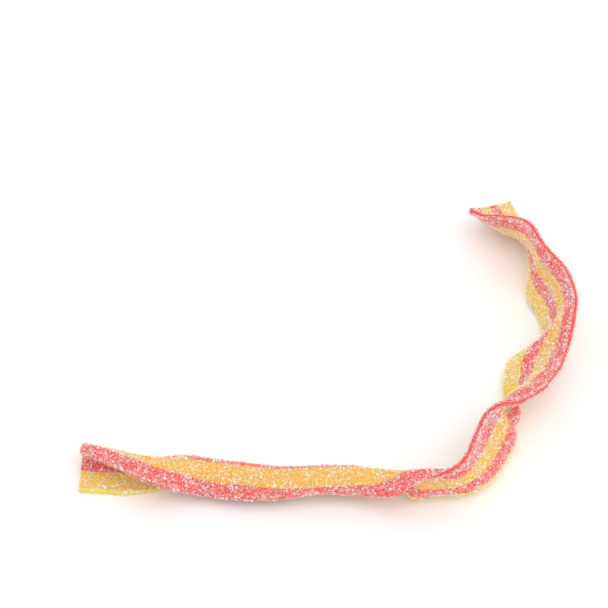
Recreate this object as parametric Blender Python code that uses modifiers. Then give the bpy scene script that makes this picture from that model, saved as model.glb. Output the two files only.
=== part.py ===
"""A sugared sour candy belt, lying in one long, loose, twisted run.

Run it with blender --background --python part.py or from the text editor.
Metres, +Z up. The origin is the middle of the belt's bounding box, on the floor it lies on.

The belt is a flat ribbon with a red long edge and a yellow long edge. Its lie is told by
cross sections taken along the red edge. Each section stands in the upright plane square to
its heading, and starts at the red edge. A fold angle is the slope of the ribbon in that
plane, walking from the yellow edge to the red one: 0 lies flat towards the left of the
heading, 90 stands upright, 180 lies flat towards the right, and more than 180 hangs down
again. Each section is dropped until its lowest point meets the floor.
"""

import bmesh
import bpy
import numpy as np

MM = 0.001

# Driving dimensions in millimetres
BELT_WIDTH = 20.0
BELT_THICKNESS = 1.8
EDGE_ROUNDING = 0.35
SECTION_STEP = 2.2

# The four stripes from the red edge: share of the width, and how many rows of faces each has
STRIPES = (
    ("red_outer", 0.24, 3),
    ("yellow_inner", 0.24, 3),
    ("red_inner", 0.21, 3),
    ("yellow_outer", 0.31, 4),
)

# The lie, from the left end to the far end. Each row has the red edge's place in plan (x, y in
# mm), the heading, the fold angles at the five stripe lines from the red edge to the yellow
# edge (all in degrees), and how far the section is held off the floor (mm).
LIE = (
    (-62.5, -60.5, -3, (195, 115, 5, 0, 0), 0.0),
    (-54.0, -65.4, -4, (192, 152, 50, 8, 0), 0.0),
    (-48.0, -69.6, -4, (188, 170, 90, 28, 8), 0.0),
    (-40.0, -72.8, -4, (196, 188, 136, 54, 15), 0.0),
    (-29.0, -71.9, -3, (246, 232, 170, 80, 30), 0.0),
    (-17.5, -73.4, -1, (262, 236, 164, 86, 50), 0.0),
    (-6.5, -73.0, 2, (286, 252, 158, 84, 68), 0.0),
    (4.5, -71.2, 3, (304, 266, 150, 82, 92), 0.0),
    (14.0, -72.0, 3, (292, 256, 140, 80, 140), 0.0),
    (21.0, -73.8, 4, (286, 232, 108, 86, 160), 0.0),
    (26.0, -75.6, 6, (276, 180, 86, 94, 170), 0.0),
    (31.5, -75.5, 10, (230, 88, 75, 105, 180), 0.0),
    (37.0, -74.5, 20, (165, 85, 85, 115, 180), 0.0),
    (41.5, -73.0, 35, (100, 92, 95, 112, 180), 0.0),
    (44.5, -69.5, 50, (82, 80, 75, 100, 180), 0.0),
    (46.5, -64.0, 60, (72, 60, 52, 90, 180), 0.0),
    (49.0, -57.5, 62, (72, 52, 40, 80, 185), 0.0),
    (51.5, -52.5, 62, (82, 50, 35, 78, 185), 0.0),
    (54.5, -51.0, 62, (120, 62, 34, 76, 180), 0.0),
    (58.5, -49.6, 62, (150, 120, 20, 86, 172), 0.0),
    (61.8, -47.4, 62, (160, 148, 6, 104, 162), 0.0),
    (64.8, -45.8, 66, (168, 158, 48, 110, 158), 0.2),
    (68.1, -43.4, 72, (166, 156, 84, 116, 152), 0.4),
    (70.6, -40.0, 79, (157, 148, 102, 126, 140), 0.8),
    (72.8, -36.0, 80, (148, 140, 130, 142, 140), 1.2),
    (74.7, -30.6, 79, (138, 142, 152, 146, 132), 1.4),
    (76.2, -26.0, 78, (124, 140, 162, 142, 122), 0.8),
    (77.3, -22.0, 79, (121, 130, 138, 116, 98), 0.0),
    (78.0, -18.5, 82, (119, 123, 116, 102, 92), 0.0),
    (78.6, -13.5, 90, (115, 114, 107, 116, 100), 0.0),
    (78.0, -8.5, 103, (112, 108, 110, 120, 98), 0.0),
    (76.2, -2.5, 112, (108, 106, 113, 118, 94), 0.0),
    (73.6, 1.5, 117, (102, 103, 111, 122, 88), 0.0),
    (71.0, 5.0, 119, (96, 94, 100, 124, 78), 0.0),
    (69.3, 8.5, 121, (91, 86, 94, 110, 66), 0.0),
    (66.6, 15.0, 123, (90, 84, 82, 68, 50), 0.0),
    (63.3, 19.0, 124, (90, 78, 62, 46, 34), 0.0),
    (59.0, 21.5, 124, (97, 70, 45, 35, 30), 0.0),
    (54.5, 24.0, 126, (80, 45, 35, 30, 20), 0.0),
    (50.5, 29.0, 130, (40, 30, 27, 25, 15), 0.0),
)

FOLD_STEPS = 80
FOLD_SOFTENING = 24

BELT_COLOUR = (0.80, 0.30, 0.12)
BELT_ROUGHNESS = 0.85


def clear_scene():
    for item in list(bpy.data.objects):
        bpy.data.objects.remove(item)


def stripe_lines():
    """Shares of the width at the stripe lines, from the red edge (0) to the yellow one (1)."""
    return np.concatenate([[0.0], np.cumsum([share for _, share, _ in STRIPES])])


def across_lines():
    """Shares of the width at every lengthwise row of vertices."""
    edges = stripe_lines()
    rows = [np.linspace(a, b, count, endpoint=False)
            for a, b, (_, _, count) in zip(edges[:-1], edges[1:], STRIPES)]
    return np.concatenate(rows + [[1.0]])


def smooth_curve(knots, values, places):
    """A smooth curve through the rows of values: a cubic between each two, whose slope at a
    knot is that of the parabola through the knot and its two neighbours."""
    gap = np.diff(knots)[:, None]
    rise = np.diff(values, axis=0) / gap
    slope = np.empty_like(values)
    slope[1:-1] = (rise[:-1] * gap[1:] + rise[1:] * gap[:-1]) / (gap[:-1] + gap[1:])
    slope[0] = rise[0]
    slope[-1] = rise[-1]
    i = np.clip(np.searchsorted(knots, places, side="right") - 1, 0, len(knots) - 2)
    h = gap[i]
    t = ((places - knots[i])[:, None]) / h
    return (values[i] * (1 + 2 * t) * (1 - t) ** 2 + values[i + 1] * t * t * (3 - 2 * t)
            + slope[i] * h * t * (1 - t) ** 2 - slope[i + 1] * h * t * t * (1 - t))


def lie_table():
    """The lie as one array: x, y, heading, five folds, lift."""
    return np.array([(x, y, heading, *folds, lift) for x, y, heading, folds, lift in LIE], float)


def fold_profile(folds):
    """Fold angles in radians at FOLD_STEPS + 1 even places across the belt. They run straight
    between the stripe lines, with the corners there softened by a repeated running mean."""
    places = np.linspace(0.0, 1.0, FOLD_STEPS + 1)
    angle = np.array([np.interp(places, stripe_lines(), row) for row in folds])
    for _ in range(FOLD_SOFTENING):
        angle[:, 1:-1] = (angle[:, :-2] + 2.0 * angle[:, 1:-1] + angle[:, 2:]) / 4.0
    return np.radians(angle)


def belt_surface():
    """The middle surface as a grid of points in mm, sections by rows across."""
    table = lie_table()
    step = np.hypot(*np.diff(table[:, :2], axis=0).T)
    knots = np.concatenate([[0.0], np.cumsum(step)])
    count = int(round(knots[-1] / SECTION_STEP))
    row = smooth_curve(knots, table, np.linspace(0.0, knots[-1], count + 1))

    angle = fold_profile(row[:, 3:8])
    middle = (angle[:, 1:] + angle[:, :-1]) / 2.0
    stride = BELT_WIDTH / FOLD_STEPS
    start = np.zeros((len(row), 1))
    aside = np.hstack([start, np.cumsum(-np.cos(middle) * stride, axis=1)])
    drop = np.hstack([start, np.cumsum(-np.sin(middle) * stride, axis=1)])
    height = drop - drop.min(axis=1, keepdims=True) + BELT_THICKNESS / 2.0 + row[:, 8:9]

    heading = np.radians(row[:, 2:3])
    x = row[:, 0:1] - np.sin(heading) * aside
    y = row[:, 1:2] + np.cos(heading) * aside
    grid = np.stack([x, y, height], axis=-1)

    fine = np.linspace(0.0, 1.0, FOLD_STEPS + 1)
    shares = across_lines()
    left = np.clip((shares * FOLD_STEPS).astype(int), 0, FOLD_STEPS - 1)
    part = (shares - fine[left]) * FOLD_STEPS
    return grid[:, left] * (1 - part)[None, :, None] + grid[:, left + 1] * part[None, :, None]


def centred(grid):
    """The grid moved so that its box is centred on the origin in plan."""
    low = grid.reshape(-1, 3).min(axis=0)
    high = grid.reshape(-1, 3).max(axis=0)
    middle = (low + high) / 2.0
    return grid - np.array([middle[0], middle[1], 0.0])


def sheet_mesh(name, grid):
    """An open sheet of quads over the grid of points, in metres."""
    sheet = bmesh.new()
    rows = [[sheet.verts.new(point * MM) for point in line] for line in grid]
    for near, far in zip(rows[:-1], rows[1:]):
        for a, b, c, d in zip(near[:-1], near[1:], far[1:], far[:-1]):
            sheet.faces.new((a, b, c, d))
    mesh = bpy.data.meshes.new(name)
    sheet.to_mesh(mesh)
    sheet.free()
    return mesh


def add_thickness(belt):
    solid = belt.modifiers.new("Thickness", "SOLIDIFY")
    solid.thickness = BELT_THICKNESS * MM
    solid.offset = 0.0
    solid.use_even_offset = True
    solid.use_rim = True


def round_edges(belt):
    bevel = belt.modifiers.new("Rounded edges", "BEVEL")
    bevel.width = EDGE_ROUNDING * MM
    bevel.segments = 2
    bevel.limit_method = "ANGLE"
    bevel.angle_limit = np.radians(60.0)
    bevel.use_clamp_overlap = True


def candy_material():
    material = bpy.data.materials.new("sugared_candy")
    material.use_nodes = True
    shader = material.node_tree.nodes["Principled BSDF"]
    shader.inputs["Base Color"].default_value = (*BELT_COLOUR, 1.0)
    shader.inputs["Roughness"].default_value = BELT_ROUGHNESS
    shader.inputs["Metallic"].default_value = 0.0
    return material


def make_belt(collection):
    mesh = sheet_mesh("belt", centred(belt_surface()))
    mesh.shade_smooth()
    mesh.materials.append(candy_material())
    belt = bpy.data.objects.new("belt", mesh)
    collection.objects.link(belt)
    add_thickness(belt)
    round_edges(belt)
    return belt


def main():
    clear_scene()
    collection = bpy.data.collections.new("sour_belt")
    bpy.context.scene.collection.children.link(collection)
    make_belt(collection)


main()
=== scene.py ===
"""The finished look of a sugared sour candy belt.

The script is laid out as a Blender add-on and is run as a script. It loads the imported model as
a fixed frame, works out the belt's fine surface with numpy, scatters its sugar crystals, and
sets up a plain studio with the camera at the photograph's viewing angle.
"""

import math

import bpy
import numpy as np
from bpy.props import FloatProperty, FloatVectorProperty, IntProperty, PointerProperty
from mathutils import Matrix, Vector


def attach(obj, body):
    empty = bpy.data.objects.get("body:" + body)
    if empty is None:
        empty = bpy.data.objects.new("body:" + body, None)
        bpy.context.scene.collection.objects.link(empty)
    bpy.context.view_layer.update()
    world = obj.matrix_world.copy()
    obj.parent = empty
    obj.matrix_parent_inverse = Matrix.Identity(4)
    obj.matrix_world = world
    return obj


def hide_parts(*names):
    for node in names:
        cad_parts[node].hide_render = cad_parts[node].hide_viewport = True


bl_info = {
    "name": "Sour Belt",
    "version": (1, 0, 0),
    "blender": (4, 5, 0),
    "location": "View3D > Sidebar > Sour Belt",
    "description": "Fine surface, sugar coat and studio for a sour candy belt",
    "category": "Object",
}

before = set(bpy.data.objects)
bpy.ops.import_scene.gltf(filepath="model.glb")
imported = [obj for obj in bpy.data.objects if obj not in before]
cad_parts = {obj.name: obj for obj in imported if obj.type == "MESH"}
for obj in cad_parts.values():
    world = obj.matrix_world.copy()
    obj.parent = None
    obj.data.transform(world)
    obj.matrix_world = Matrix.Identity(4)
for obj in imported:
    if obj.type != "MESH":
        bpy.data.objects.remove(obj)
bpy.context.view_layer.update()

MM = 0.001
ROOT = "root"
NODE = "belt"

# The four stripes from the red edge: colour and share of the width
STRIPES = (("red", 0.24), ("yellow", 0.24), ("red", 0.21), ("lemon", 0.31))

# The lie, from the left end to the far end. Each row has the red edge's place in plan (x, y in
# mm), the heading, the fold angles at the five stripe lines from the red edge to the yellow
# edge (all in degrees), and how far the section is held off the floor (mm).
LIE = (
    (-62.5, -60.5, -3, (195, 115, 5, 0, 0), 0.0),
    (-54.0, -65.4, -4, (192, 152, 50, 8, 0), 0.0),
    (-48.0, -69.6, -4, (188, 170, 90, 28, 8), 0.0),
    (-40.0, -72.8, -4, (196, 188, 136, 54, 15), 0.0),
    (-29.0, -71.9, -3, (246, 232, 170, 80, 30), 0.0),
    (-17.5, -73.4, -1, (262, 236, 164, 86, 50), 0.0),
    (-6.5, -73.0, 2, (286, 252, 158, 84, 68), 0.0),
    (4.5, -71.2, 3, (304, 266, 150, 82, 92), 0.0),
    (14.0, -72.0, 3, (292, 256, 140, 80, 140), 0.0),
    (21.0, -73.8, 4, (286, 232, 108, 86, 160), 0.0),
    (26.0, -75.6, 6, (276, 180, 86, 94, 170), 0.0),
    (31.5, -75.5, 10, (230, 88, 75, 105, 180), 0.0),
    (37.0, -74.5, 20, (165, 85, 85, 115, 180), 0.0),
    (41.5, -73.0, 35, (100, 92, 95, 112, 180), 0.0),
    (44.5, -69.5, 50, (82, 80, 75, 100, 180), 0.0),
    (46.5, -64.0, 60, (72, 60, 52, 90, 180), 0.0),
    (49.0, -57.5, 62, (72, 52, 40, 80, 185), 0.0),
    (51.5, -52.5, 62, (82, 50, 35, 78, 185), 0.0),
    (54.5, -51.0, 62, (120, 62, 34, 76, 180), 0.0),
    (58.5, -49.6, 62, (150, 120, 20, 86, 172), 0.0),
    (61.8, -47.4, 62, (160, 148, 6, 104, 162), 0.0),
    (64.8, -45.8, 66, (168, 158, 48, 110, 158), 0.2),
    (68.1, -43.4, 72, (166, 156, 84, 116, 152), 0.4),
    (70.6, -40.0, 79, (157, 148, 102, 126, 140), 0.8),
    (72.8, -36.0, 80, (148, 140, 130, 142, 140), 1.2),
    (74.7, -30.6, 79, (138, 142, 152, 146, 132), 1.4),
    (76.2, -26.0, 78, (124, 140, 162, 142, 122), 0.8),
    (77.3, -22.0, 79, (121, 130, 138, 116, 98), 0.0),
    (78.0, -18.5, 82, (119, 123, 116, 102, 92), 0.0),
    (78.6, -13.5, 90, (115, 114, 107, 116, 100), 0.0),
    (78.0, -8.5, 103, (112, 108, 110, 120, 98), 0.0),
    (76.2, -2.5, 112, (108, 106, 113, 118, 94), 0.0),
    (73.6, 1.5, 117, (102, 103, 111, 122, 88), 0.0),
    (71.0, 5.0, 119, (96, 94, 100, 124, 78), 0.0),
    (69.3, 8.5, 121, (91, 86, 94, 110, 66), 0.0),
    (66.6, 15.0, 123, (90, 84, 82, 68, 50), 0.0),
    (63.3, 19.0, 124, (90, 78, 62, 46, 34), 0.0),
    (59.0, 21.5, 124, (97, 70, 45, 35, 30), 0.0),
    (54.5, 24.0, 126, (80, 45, 35, 30, 20), 0.0),
    (50.5, 29.0, 130, (40, 30, 27, 25, 15), 0.0),
)

FOLD_STEPS = 80
FOLD_SOFTENING = 24

# The fine surface: spacing of its sections and of its rows across, radius of its long edges and
# how far in from a cut side the jelly is bare of dust, all in mm
SECTION_STEP = 0.6
ROW_STEP = 0.5
EDGE_ROUNDING = 0.35
BARE_EDGE = 0.25

# Where round the quarter circle of each long edge a row of points lies, and the sharpest turn
# that is shaded smooth, in degrees
EDGE_TURNS = (0.0, 30.0, 60.0, 90.0)
SHARP_TURN = 50.0

# The frame's own spacing of sections in mm. Its belt is centred by the box of these sections.
FRAME_SECTION_STEP = 2.2

# The sheet's soft lumps: how many waves, their shortest and longest wavelength in mm, and the
# seeds for the upper and the lower half
LUMP_WAVES = 14
LUMP_WAVELENGTHS = (4.0, 11.0)
LUMP_SEEDS = (3, 4)

# The crystals: spread of their sizes on a log scale, least and greatest stretch along each of
# their own axes, the two shape numbers of the beta distribution that says how clean each is,
# the power that pales the jelly's colour in them, and how much of the belt's width the soft
# change from one stripe's colour to the next takes
SIZE_SPREAD = 0.22
STRETCH = (0.7, 1.15)
CLEANNESS = (1.5, 1.4)
TINT_POWER = 0.55
TINT_BLEND = 0.012

# The studio, in metres: half the floor's side, and the soft light's side and place
FLOOR_REACH = 3.0
KEY_SIZE = 0.7
KEY_PLACE = (0.20, -0.22, 0.70)

# The photograph's view: the lie's own plan origin sits at the middle of the picture. The tilt
# is in degrees, the distance and the clipping in metres, the sensor in mm.
VIEW_TILT = 50.0
VIEW_DISTANCE = 0.65
VIEW_CLIPPING = (0.01, 20.0)
SENSOR_WIDTH = 36.0
PICTURE_PIXELS = 608
PIXELS_PER_MM = 3.33


class BeltSettings(bpy.types.PropertyGroup):
    width: FloatProperty(name="Width", description="Across the belt", default=0.020, unit="LENGTH")
    thickness: FloatProperty(name="Thickness", description="Of the jelly sheet", default=0.0018,
                             unit="LENGTH")
    crown: FloatProperty(name="Stripe crown", description="How far each stripe bulges",
                         default=0.00007, unit="LENGTH")
    lumps: FloatProperty(name="Lumps", description="Height of the sheet's soft lumps",
                         default=0.00010, unit="LENGTH")
    red: FloatVectorProperty(name="Red jelly", description="Colour of the red stripes",
                             default=(0.86, 0.062, 0.050), subtype="COLOR")
    yellow: FloatVectorProperty(name="Yellow jelly", description="Colour of the inner yellow stripe",
                                default=(0.89, 0.435, 0.006), subtype="COLOR")
    lemon: FloatVectorProperty(name="Lemon jelly", description="Colour of the outer yellow stripe",
                               default=(0.96, 0.54, 0.002), subtype="COLOR")
    # Painted light: the thin lemon edge's colour is a lighter lemon that stands in for light shining
    # through the thin jelly
    painted_edge_glow: FloatVectorProperty(name="Thin edge", description="Colour of the light-filled lemon edge",
                              default=(0.98, 0.76, 0.010), subtype="COLOR")


class SugarSettings(bpy.types.PropertyGroup):
    colour: FloatVectorProperty(name="Sugar", description="Colour of a clean crystal",
                                default=(0.98, 0.95, 0.92), subtype="COLOR")
    coarse: FloatProperty(name="Coarse crystals", description="Size of the coarse crystals",
                          default=0.00045, unit="LENGTH")
    medium: FloatProperty(name="Medium crystals", description="Size of the medium crystals",
                          default=0.00037, unit="LENGTH")
    small: FloatProperty(name="Small crystals", description="Size of the small crystals",
                         default=0.00030, unit="LENGTH")
    fine: FloatProperty(name="Fine crystals", description="Size of the fine crystals",
                        default=0.00022, unit="LENGTH")
    dust: FloatProperty(name="Dust grains", description="Size of the dust grains",
                        default=0.00020, unit="LENGTH")
    coarse_per_mm2: FloatProperty(name="Coarse per square mm", description="How many on a face",
                                  default=0.40)
    medium_per_mm2: FloatProperty(name="Medium per square mm", description="How many on a face",
                                  default=1.4)
    small_per_mm2: FloatProperty(name="Small per square mm", description="How many on a face",
                                 default=2.3)
    fine_per_mm2: FloatProperty(name="Fine per square mm", description="How many on a face",
                                default=2.3)
    dust_per_mm2: FloatProperty(name="Dust per square mm", description="How many on a face",
                                default=4.6)
    side_share: FloatProperty(name="Share on cut sides", description="Of the small grains only",
                              default=0.9, subtype="FACTOR")
    lip: FloatProperty(name="Lip", description="Share of a cut side that its sugared lips take",
                       default=0.55, subtype="FACTOR")
    rim_share: FloatProperty(name="Rim share", description="Share of a face's crystals at its rims",
                             default=0.06, subtype="FACTOR")
    rim: FloatProperty(name="Rim", description="Width of each more thickly sugared rim",
                       default=0.0005, unit="LENGTH")
    seed: IntProperty(name="Seed", description="Start of the scatter's random numbers", default=7)


class StudioSettings(bpy.types.PropertyGroup):
    floor: FloatVectorProperty(name="Floor", description="Colour of the floor",
                               default=(0.97, 0.97, 0.97), subtype="COLOR")
    sky: FloatProperty(name="Surround", description="Strength of the even light", default=0.93)
    key: FloatProperty(name="Key light", description="Power of the large soft light",
                       default=1.8, unit="POWER")


def stripe_lines():
    """Shares of the width at the stripe lines, from the red edge (0) to the yellow one (1)."""
    return np.concatenate([[0.0], np.cumsum([share for _, share in STRIPES])])


def smooth_curve(knots, values, places):
    """A smooth curve through the rows of values: a cubic between each two, whose slope at a
    knot is that of the parabola through the knot and its two neighbours."""
    gap = np.diff(knots)[:, None]
    rise = np.diff(values, axis=0) / gap
    slope = np.empty_like(values)
    slope[1:-1] = (rise[:-1] * gap[1:] + rise[1:] * gap[:-1]) / (gap[:-1] + gap[1:])
    slope[0] = rise[0]
    slope[-1] = rise[-1]
    i = np.clip(np.searchsorted(knots, places, side="right") - 1, 0, len(knots) - 2)
    h = gap[i]
    t = ((places - knots[i])[:, None]) / h
    return (values[i] * (1 + 2 * t) * (1 - t) ** 2 + values[i + 1] * t * t * (3 - 2 * t)
            + slope[i] * h * t * (1 - t) ** 2 - slope[i + 1] * h * t * t * (1 - t))


def fold_profile(folds):
    """Fold angles in radians at FOLD_STEPS + 1 even places across the belt. They run straight
    between the stripe lines, with the corners there softened by a repeated running mean."""
    places = np.linspace(0.0, 1.0, FOLD_STEPS + 1)
    angle = np.array([np.interp(places, stripe_lines(), row) for row in folds])
    for _ in range(FOLD_SOFTENING):
        angle[:, 1:-1] = (angle[:, :-2] + 2.0 * angle[:, 1:-1] + angle[:, 2:]) / 4.0
    return np.radians(angle)


def middle_surface(belt, step):
    """The sheet's middle surface in metres, before it is centred: a grid of sections, each with
    FOLD_STEPS + 1 points across.

    A point lies at the red edge's place, plus the running sum of unit steps at the fold angle
    in the upright plane square to the heading. The section then drops until its lowest point
    is half a thickness, and the row's own lift, off the floor."""
    table = np.array([(x, y, heading, *folds, lift) for x, y, heading, folds, lift in LIE], float)
    knots = np.concatenate([[0.0], np.cumsum(np.hypot(*np.diff(table[:, :2], axis=0).T))])
    count = int(round(knots[-1] / step))
    row = smooth_curve(knots, table, np.linspace(0.0, knots[-1], count + 1))
    angle = fold_profile(row[:, 3:8])
    middle = (angle[:, 1:] + angle[:, :-1]) / 2.0
    stride = belt.width / FOLD_STEPS
    start = np.zeros((len(row), 1))
    aside = np.hstack([start, np.cumsum(-np.cos(middle) * stride, axis=1)])
    drop = np.hstack([start, np.cumsum(-np.sin(middle) * stride, axis=1)])
    lift = row[:, 8:9] * MM
    height = drop - drop.min(axis=1, keepdims=True) + belt.thickness / 2.0 + lift
    heading = np.radians(row[:, 2:3])
    x = row[:, 0:1] * MM - np.sin(heading) * aside
    y = row[:, 1:2] * MM + np.cos(heading) * aside
    return np.stack([x, y, height], axis=-1)


def plan_middle(belt):
    """The middle in plan of the middle surface's box, before it is moved to the origin."""
    points = middle_surface(belt, FRAME_SECTION_STEP).reshape(-1, 3)
    return np.array([*(points.min(axis=0) + points.max(axis=0))[:2] / 2.0, 0.0])


class Sheet:
    """The centred middle surface and its normals, read at any place by linear steps. The
    normals leave its upper side, which is the one that is up where the fold angle is 180."""

    def __init__(self, belt):
        self.points = middle_surface(belt, SECTION_STEP) - plan_middle(belt)
        along = np.gradient(self.points, axis=0)
        across = np.gradient(self.points, axis=1)
        normal = np.cross(along, across)
        self.normals = normal / np.linalg.norm(normal, axis=-1, keepdims=True)
        step = np.linalg.norm(np.diff(self.points, axis=0), axis=-1)
        self.length = step.sum(axis=0).mean()

    def read(self, grid, run, share):
        """The grid's values at run (0 to 1 along the belt) and share (0 to 1 across it)."""
        rows, columns = grid.shape[0] - 1, grid.shape[1] - 1
        a = np.clip(run, 0.0, 1.0) * rows
        b = np.clip(share, 0.0, 1.0) * columns
        i = np.minimum(a.astype(int), rows - 1)
        j = np.minimum(b.astype(int), columns - 1)
        p = (a - i)[..., None]
        q = (b - j)[..., None]
        return ((grid[i, j] * (1 - p) + grid[i + 1, j] * p) * (1 - q)
                + (grid[i, j + 1] * (1 - p) + grid[i + 1, j + 1] * p) * q)


def soft_lumps(run, share, length, width, seed):
    """Soft lumps, mostly from -1 to 1: a sum of sine waves over the square root of their number.
    Their wavelengths, directions and phases are drawn at random from the seed."""
    rng = np.random.default_rng(seed)
    total = np.zeros(np.broadcast(run, share).shape)
    for _ in range(LUMP_WAVES):
        wavelength = rng.uniform(*LUMP_WAVELENGTHS) * MM
        way = rng.uniform(0.0, math.pi)
        phase = rng.uniform(0.0, 2.0 * math.pi)
        place = run * length * math.cos(way) + share * width * math.sin(way)
        total += np.sin(2.0 * math.pi * place / wavelength + phase)
    return total / math.sqrt(LUMP_WAVES)


def stripe_crown(share):
    """1 along the middle of each stripe and 0 on the lines between: the square root of a half
    sine wave over each stripe's own width, so that the groove between two is narrow."""
    edges = stripe_lines()
    i = np.clip(np.searchsorted(edges, share, side="right") - 1, 0, len(STRIPES) - 1)
    part = (share - edges[i]) / (edges[i + 1] - edges[i])
    return np.sqrt(np.clip(np.sin(math.pi * np.clip(part, 0.0, 1.0)), 0.0, 1.0))


def skin_bulge(belt, sheet, run, share, seed):
    """How far the skin stands off the plain profile: the stripes' crowns, half of their height
    out and half in, and the soft lumps."""
    crown = belt.crown * (stripe_crown(share) - 0.5)
    return crown + belt.lumps * soft_lumps(run, share, sheet.length, belt.width, seed)


def new_mesh_object(name, points, faces):
    mesh = bpy.data.meshes.new(name)
    mesh.from_pydata(points.reshape(-1, 3).tolist(), [], faces.tolist())
    mesh.update()
    piece = bpy.data.objects.new(name, mesh)
    bpy.context.scene.collection.objects.link(piece)
    return piece


def add_value(mesh, name, grid):
    """Keeps a grid of values on the points of both halves of the sheet."""
    layer = mesh.attributes.new(name, "FLOAT", "POINT")
    layer.data.foreach_set("value", np.tile(grid.ravel(), 2).astype(np.float32))


def half_profile(belt):
    """Shares across and heights over the middle of the sheet's upper half, as two arrays. The
    half runs from the red side to the yellow one and has a quarter circle at each edge."""
    radius = EDGE_ROUNDING * MM
    flat = np.arange(1, int(round((belt.width - 2 * radius) / (ROW_STEP * MM))))
    inner = radius + flat * (belt.width - 2 * radius) / (len(flat) + 1)
    turn = np.radians(EDGE_TURNS)
    rise = belt.thickness / 2.0 - radius + radius * np.sin(turn)
    step = radius - radius * np.cos(turn)
    across = np.concatenate([step, inner, belt.width - step[::-1]])
    height = np.concatenate([rise, np.full(len(inner), belt.thickness / 2.0), rise[::-1]])
    return across / belt.width, height


def sheet_faces(rows, columns):
    """Quads of the closed sheet, whose upper grid of points is followed by its lower one: the
    two faces, the red side, the yellow side and the two cut ends."""
    top = np.arange(rows * columns).reshape(rows, columns)
    low = top + rows * columns
    quads = (
        (top[:-1, :-1], top[1:, :-1], top[1:, 1:], top[:-1, 1:]),
        (low[:-1, :-1], low[:-1, 1:], low[1:, 1:], low[1:, :-1]),
        (top[:-1, 0], low[:-1, 0], low[1:, 0], top[1:, 0]),
        (top[:-1, -1], top[1:, -1], low[1:, -1], low[:-1, -1]),
        (top[0, :-1], top[0, 1:], low[0, 1:], low[0, :-1]),
        (top[-1, :-1], low[-1, :-1], low[-1, 1:], top[-1, 1:]),
    )
    return np.concatenate([np.stack(corners, -1).reshape(-1, 4) for corners in quads])


def belt_body(belt):
    """The closed jelly sheet. Its upper and lower halves are the middle surface pushed along
    its normals by the half profile and the skin's bulge, which fades out down the sides. No
    point goes below the floor."""
    sheet = Sheet(belt)
    line, height = half_profile(belt)
    share, run = np.broadcast_arrays(line, np.linspace(0.0, 1.0, len(sheet.points))[:, None])
    middle = sheet.read(sheet.points, run, share)
    normal = sheet.read(sheet.normals, run, share)
    weight = height / height.max()
    halves = []
    for side, seed in zip((1.0, -1.0), LUMP_SEEDS):
        push = (height + skin_bulge(belt, sheet, run, share, seed) * weight) * side
        halves.append(middle + normal * push[..., None])
    points = np.concatenate(halves)
    points[..., 2] = np.maximum(points[..., 2], 0.0)

    body = new_mesh_object("belt_body", points, sheet_faces(*share.shape))
    inset = np.minimum(share, 1.0 - share) * belt.width
    add_value(body.data, "share", share)
    add_value(body.data, "bare", 1.0 - np.clip(inset / (BARE_EDGE * MM), 0.0, 1.0))
    body.data.shade_smooth()
    body.data.set_sharp_from_angle(angle=math.radians(SHARP_TURN))
    return body


def cube_corners():
    """A crystal's eight corners in a unit cube, with its six sides."""
    corners = np.array([(x, y, z) for z in (-0.5, 0.5) for y in (-0.5, 0.5) for x in (-0.5, 0.5)])
    sides = np.array([(0, 2, 3, 1), (4, 5, 7, 6), (0, 1, 5, 4), (2, 6, 7, 3), (0, 4, 6, 2),
                      (1, 3, 7, 5)])
    return corners, sides


def octahedron_corners():
    """A fine grain's six corners, with its eight triangles."""
    corners = np.array([(0.5, 0, 0), (-0.5, 0, 0), (0, 0.5, 0), (0, -0.5, 0), (0, 0, 0.5),
                        (0, 0, -0.5)])
    sides = np.array([(0, 2, 4), (2, 1, 4), (1, 3, 4), (3, 0, 4), (2, 0, 5), (1, 2, 5),
                      (3, 1, 5), (0, 3, 5)])
    return corners, sides


def tetrahedron_corners():
    """A dust grain's four corners, with its four triangles."""
    corners = np.array([(0.5, 0.5, 0.5), (-0.5, -0.5, 0.5), (-0.5, 0.5, -0.5), (0.5, -0.5, -0.5)])
    sides = np.array([(0, 2, 1), (0, 1, 3), (0, 3, 2), (1, 2, 3)])
    return corners, sides


def random_turns(rng, count):
    """Rotation matrices spread evenly over all turns, from normalised random quaternions."""
    q = rng.normal(size=(count, 4))
    w, x, y, z = (q / np.linalg.norm(q, axis=1, keepdims=True)).T
    return np.stack([
        np.stack([1 - 2 * (y * y + z * z), 2 * (x * y - z * w), 2 * (x * z + y * w)], -1),
        np.stack([2 * (x * y + z * w), 1 - 2 * (x * x + z * z), 2 * (y * z - x * w)], -1),
        np.stack([2 * (x * z - y * w), 2 * (y * z + x * w), 1 - 2 * (x * x + y * y)], -1)], 1)


def stripe_colour(share, belt):
    """The jelly's colour at each share of the width, with a soft line between two stripes."""
    colour = np.array(getattr(belt, STRIPES[0][0]))[None, :].repeat(len(share), axis=0)
    for edge, (name, _) in zip(stripe_lines()[1:-1], STRIPES[1:]):
        rise = np.clip((share - edge) / TINT_BLEND + 0.5, 0.0, 1.0)[:, None]
        colour = colour * (1 - rise) + np.array(getattr(belt, name)) * rise
    return colour


def face_places(belt, sugar, count, side, rng):
    """Places on the upper face (side 1) or the lower one (side -1): shares across, and pushes
    off the middle. A few are gathered at the rims, where the push follows the round edge."""
    radius = EDGE_ROUNDING * MM
    share = rng.uniform(0.0, 1.0, count)
    near = rng.uniform(0.0, 1.0, count) < sugar.rim_share
    rim = (share % 0.5) * 2.0 * sugar.rim / belt.width
    share = np.where(near, np.where(share < 0.5, rim, 1.0 - rim), share)
    inset = np.clip(radius - np.minimum(share, 1.0 - share) * belt.width, 0.0, radius)
    push = belt.thickness / 2.0 - radius + np.sqrt(radius ** 2 - inset ** 2)
    return share, push * side


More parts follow.
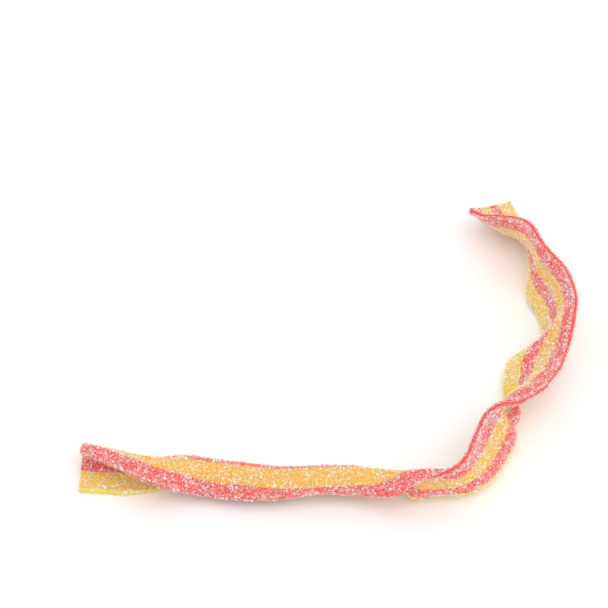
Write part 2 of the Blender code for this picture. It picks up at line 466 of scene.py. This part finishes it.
def side_places(belt, sugar, count, edge, rng):
    """Places on the red long side (edge 0) or the yellow one (edge 1): shares across, and
    pushes off the middle, which crowd towards the side's two lips."""
    lips = 1.0 - sugar.lip * rng.uniform(0.0, 1.0, count) ** 2
    push = rng.choice((-1.0, 1.0), count) * lips * (belt.thickness / 2.0 - EDGE_ROUNDING * MM)
    return np.full(count, float(edge)), push


def sugar_places(sheet, belt, sugar, per_mm2, side_share, rng):
    """Random places for crystals: points on the jelly's skin and the share of the width there.
    The two faces and the two cut long sides each get their own number."""
    on_face = int(belt.width * sheet.length / MM ** 2 * per_mm2)
    on_side = int(belt.thickness * sheet.length / MM ** 2 * per_mm2 * side_share)
    surfaces = ((face_places, on_face, 1.0), (face_places, on_face, -1.0),
                (side_places, on_side, 0), (side_places, on_side, 1))
    skin, shares = [], []
    for places, count, which in surfaces:
        run = rng.uniform(0.0, 1.0, count)
        share, push = places(belt, sugar, count, which, rng)
        middle = sheet.read(sheet.points, run, share)
        skin.append(middle + sheet.read(sheet.normals, run, share) * push[:, None])
        shares.append(share)
    return np.concatenate(skin), np.concatenate(shares)


def crystals(name, belt, sugar, size, per_mm2, side_share, shape, seed):
    """Crystals of one size, all in one mesh. Each is a corner shape stretched and turned at
    random, whose middle is on the jelly's skin, so that it is half sunk in. Its colour lies
    between the jelly's, paled, and clean sugar's."""
    rng = np.random.default_rng(seed)
    sheet = Sheet(belt)
    centre, share = sugar_places(sheet, belt, sugar, per_mm2, side_share, rng)
    count = len(centre)
    corners, faces = shape()
    scale = size * np.exp(rng.normal(0.0, SIZE_SPREAD, (count, 1)))
    stretch = scale * rng.uniform(*STRETCH, (count, 3))
    turned = np.einsum("nij,nkj->nki", random_turns(rng, count), corners[None] * stretch[:, None])
    points = centre[:, None] + turned
    points[..., 2] = np.maximum(points[..., 2], 0.0)
    all_faces = faces[None] + (np.arange(count) * len(corners))[:, None, None]
    piece = new_mesh_object(name, points, all_faces.reshape(-1, faces.shape[1]))

    clean = rng.beta(*CLEANNESS, count)[:, None]
    colour = stripe_colour(share, belt) ** TINT_POWER * (1 - clean) + np.array(sugar.colour) * clean
    rgba = np.hstack([colour, np.ones((count, 1))]).repeat(len(corners), axis=0)
    layer = piece.data.attributes.new("tint", "FLOAT_COLOR", "POINT")
    layer.data.foreach_set("color", rgba.astype(np.float32).ravel())
    return piece


def new_material(name):
    material = bpy.data.materials.new(name)
    material.use_nodes = True
    return material, material.node_tree.nodes, material.node_tree.links


def object_noise(nodes, links, scale, detail):
    """Noise in the object's own coordinates, with about scale cells to a metre."""
    place = nodes.new("ShaderNodeTexCoord")
    noise = nodes.new("ShaderNodeTexNoise")
    noise.inputs["Scale"].default_value = scale
    noise.inputs["Detail"].default_value = detail
    links.new(place.outputs["Object"], noise.inputs["Vector"])
    return noise.outputs["Fac"]


def mesh_value(nodes, name):
    """A node that reads a value kept on the mesh's own points."""
    reader = nodes.new("ShaderNodeAttribute")
    reader.attribute_name = name
    return reader


def calculate(nodes, links, operation, *terms):
    """One step of arithmetic, whose terms are numbers or other nodes' outputs."""
    step = nodes.new("ShaderNodeMath")
    step.operation = operation
    for socket, term in zip(step.inputs, terms):
        if isinstance(term, float):
            socket.default_value = term
        else:
            links.new(term, socket)
    return step.outputs["Value"]


def striped_colour(nodes, links, belt):
    """The stripes' colours over the share of the width. The lines between them are short soft
    steps that wander a little, and the thin yellow edge has a painted glow: a lighter lemon
    that stands in for light shining through the thin jelly."""
    line_wander = 0.030
    line_softness = 0.007
    # How far in from the yellow edge the painted glow of light through the thin jelly reaches
    painted_glow_width = 0.03
    wander = object_noise(nodes, links, scale=260.0, detail=2.0)
    share = mesh_value(nodes, "share").outputs["Fac"]
    moved = calculate(nodes, links, "MULTIPLY_ADD", wander, line_wander, share)
    stripes = nodes.new("ShaderNodeValToRGB")
    stops = stripes.color_ramp.elements
    stops.remove(stops[1])
    stops[0].position = 0.0
    stops[0].color = (*getattr(belt, STRIPES[0][0]), 1.0)
    lines = stripe_lines()[1:-1] + line_wander / 2.0
    for line, (before, _), (after, _) in zip(lines, STRIPES[:-1], STRIPES[1:]):
        stops.new(line - line_softness).color = (*getattr(belt, before), 1.0)
        stops.new(line + line_softness).color = (*getattr(belt, after), 1.0)
    # The last two stops paint the glow of light shining through the thin lemon edge into its colour
    stops.new(1.0 - painted_glow_width).color = (*getattr(belt, STRIPES[-1][0]), 1.0)
    stops.new(1.0).color = (*belt.painted_edge_glow, 1.0)
    links.new(moved, stripes.inputs["Fac"])
    return stripes.outputs["Color"]


def dust_cover(nodes, links, dust):
    """How much of the jelly its fine dust hides: nothing where the noise is low, up to the most
    where it is high, and little on the bare cut sides."""
    noise_low = 0.49
    noise_high = 0.66
    most_hidden = 0.42
    bare_loss = 0.85
    cover = nodes.new("ShaderNodeMapRange")
    cover.inputs["From Min"].default_value = noise_low
    cover.inputs["From Max"].default_value = noise_high
    cover.inputs["To Min"].default_value = 0.0
    cover.inputs["To Max"].default_value = most_hidden
    links.new(dust, cover.inputs["Value"])
    bare = mesh_value(nodes, "bare").outputs["Fac"]
    keep = calculate(nodes, links, "MULTIPLY_ADD", bare, -bare_loss, 1.0)
    return calculate(nodes, links, "MULTIPLY", cover.outputs["Result"], keep)


def jelly_material(belt, sugar):
    """Translucent jelly in four stripes, frosted and roughened with fine sugar dust."""
    material, nodes, links = new_material("striped jelly")
    shader = nodes["Principled BSDF"]
    shader.inputs["Roughness"].default_value = 0.5
    shader.inputs["Subsurface Weight"].default_value = 0.55
    shader.inputs["Subsurface Scale"].default_value = 0.0016
    shader.inputs["Subsurface Radius"].default_value = (1.0, 0.55, 0.25)
    shader.inputs["IOR"].default_value = 1.42

    dust = object_noise(nodes, links, scale=2600.0, detail=3.0)
    frosted = nodes.new("ShaderNodeMix")
    frosted.data_type = "RGBA"
    frosted.inputs["B"].default_value = (*sugar.colour, 1.0)
    links.new(dust_cover(nodes, links, dust), frosted.inputs["Factor"])
    links.new(striped_colour(nodes, links, belt), frosted.inputs["A"])
    links.new(frosted.outputs["Result"], shader.inputs["Base Color"])

    bump = nodes.new("ShaderNodeBump")
    bump.inputs["Strength"].default_value = 0.7
    bump.inputs["Distance"].default_value = 0.00025
    links.new(dust, bump.inputs["Height"])
    links.new(bump.outputs["Normal"], shader.inputs["Normal"])
    return material


def sugar_material():
    """Milky sugar crystals, which take some of the jelly's colour."""
    material, nodes, links = new_material("sugar crystals")
    shader = nodes["Principled BSDF"]
    shader.inputs["Roughness"].default_value = 0.28
    shader.inputs["IOR"].default_value = 1.5
    shader.inputs["Subsurface Weight"].default_value = 0.35
    shader.inputs["Subsurface Scale"].default_value = 0.0006
    shader.inputs["Subsurface Radius"].default_value = (1.0, 0.9, 0.8)
    links.new(mesh_value(nodes, "tint").outputs["Color"], shader.inputs["Base Color"])
    return material


class SOURBELT_OT_body(bpy.types.Operator):
    """Make the striped jelly sheet, folded and twisted"""
    bl_idname = "sour_belt.body"
    bl_label = "Jelly sheet"

    def execute(self, context):
        scene = context.scene
        body = belt_body(scene.belt_settings)
        body.data.materials.append(jelly_material(scene.belt_settings, scene.sugar_settings))
        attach(body, ROOT)
        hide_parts(NODE)
        return {"FINISHED"}


class SOURBELT_OT_sugar(bpy.types.Operator):
    """Scatter the sugar crystals over both faces and the cut sides"""
    bl_idname = "sour_belt.sugar"
    bl_label = "Sugar coat"

    def execute(self, context):
        belt = context.scene.belt_settings
        sugar = context.scene.sugar_settings
        material = sugar_material()
        side = sugar.side_share
        coats = (
            ("sugar_coarse", sugar.coarse, sugar.coarse_per_mm2, 0.0, cube_corners),
            ("sugar_medium", sugar.medium, sugar.medium_per_mm2, 0.0, cube_corners),
            ("sugar_small", sugar.small, sugar.small_per_mm2, side, octahedron_corners),
            ("sugar_fine", sugar.fine, sugar.fine_per_mm2, side, octahedron_corners),
            ("sugar_dust", sugar.dust, sugar.dust_per_mm2, side, tetrahedron_corners),
        )
        for seed, (name, size, per_mm2, side_share, shape) in enumerate(coats, sugar.seed):
            piece = crystals(name, belt, sugar, size, per_mm2, side_share, shape, seed)
            piece.data.materials.append(material)
            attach(piece, ROOT)
        return {"FINISHED"}


class SOURBELT_OT_studio(bpy.types.Operator):
    """Lay the floor and set the lights and the camera"""
    bl_idname = "sour_belt.studio"
    bl_label = "Studio"

    def execute(self, context):
        scene = context.scene
        studio = scene.studio_settings
        make_floor(studio)
        make_lights(scene, studio)
        make_camera(scene, plan_middle(scene.belt_settings))
        scene.view_settings.view_transform = "Standard"
        return {"FINISHED"}


def make_floor(studio):
    """A plain pale floor, far wider than the view."""
    reach = FLOOR_REACH
    corners = np.array([(-reach, -reach, 0.0), (reach, -reach, 0.0), (reach, reach, 0.0),
                        (-reach, reach, 0.0)])
    floor = new_mesh_object("floor", corners, np.array([(0, 1, 2, 3)]))
    material, nodes, _ = new_material("pale floor")
    shader = nodes["Principled BSDF"]
    shader.inputs["Base Color"].default_value = (*studio.floor, 1.0)
    shader.inputs["Roughness"].default_value = 0.9
    floor.data.materials.append(material)


def make_lights(scene, studio):
    """Even white light all round, and one large soft light high up, to the right in front."""
    world = bpy.data.worlds.new("even light")
    world.use_nodes = True
    background = world.node_tree.nodes["Background"]
    background.inputs["Color"].default_value = (1.0, 1.0, 1.0, 1.0)
    background.inputs["Strength"].default_value = studio.sky
    scene.world = world
    lamp = bpy.data.lights.new("key", "AREA")
    lamp.shape = "SQUARE"
    lamp.size = KEY_SIZE
    lamp.energy = studio.key
    key = bpy.data.objects.new("key", lamp)
    key.location = KEY_PLACE
    key.rotation_euler = (-key.location).to_track_quat("-Z", "Y").to_euler()
    scene.collection.objects.link(key)


def make_camera(scene, middle):
    """The photograph's view: looking down at VIEW_TILT degrees from VIEW_DISTANCE away, with
    the lie's own plan origin, which the centring moved by -middle, at the picture's middle."""
    data = bpy.data.cameras.new("camera")
    data.sensor_width = SENSOR_WIDTH
    focal_pixels = PIXELS_PER_MM * VIEW_DISTANCE / MM
    data.lens = data.sensor_width * focal_pixels / PICTURE_PIXELS
    data.clip_start, data.clip_end = VIEW_CLIPPING
    camera = bpy.data.objects.new("camera", data)
    tilt = math.radians(VIEW_TILT)
    back = Vector((0.0, -math.cos(tilt), math.sin(tilt)))
    camera.location = back * VIEW_DISTANCE - Vector(middle)
    camera.rotation_euler = (math.pi / 2.0 - tilt, 0.0, 0.0)
    scene.collection.objects.link(camera)
    scene.camera = camera


class SOURBELT_PT_panel(bpy.types.Panel):
    """Lists the belt's pieces and their settings"""
    bl_idname = "SOURBELT_PT_panel"
    bl_label = "Sour Belt"
    bl_space_type = "VIEW_3D"
    bl_region_type = "UI"
    bl_category = "Sour Belt"

    def draw(self, context):
        scene = context.scene
        for settings, operator in PANEL_ROWS:
            box = self.layout.box()
            group = getattr(scene, settings)
            for name in group.bl_rna.properties.keys():
                if name not in {"rna_type", "name"}:
                    box.prop(group, name)
            box.operator(operator)


PANEL_ROWS = (
    ("belt_settings", "sour_belt.body"),
    ("sugar_settings", "sour_belt.sugar"),
    ("studio_settings", "sour_belt.studio"),
)

CLASSES = (BeltSettings, SugarSettings, StudioSettings, SOURBELT_OT_body, SOURBELT_OT_sugar,
           SOURBELT_OT_studio, SOURBELT_PT_panel)


def register():
    for item in CLASSES:
        bpy.utils.register_class(item)
    bpy.types.Scene.belt_settings = PointerProperty(type=BeltSettings)
    bpy.types.Scene.sugar_settings = PointerProperty(type=SugarSettings)
    bpy.types.Scene.studio_settings = PointerProperty(type=StudioSettings)


def unregister():
    del bpy.types.Scene.belt_settings
    del bpy.types.Scene.sugar_settings
    del bpy.types.Scene.studio_settings
    for item in reversed(CLASSES):
        bpy.utils.unregister_class(item)


def main():
    register()
    bpy.ops.sour_belt.body()
    bpy.ops.sour_belt.sugar()
    bpy.ops.sour_belt.studio()


if __name__ == "__main__":
    main()
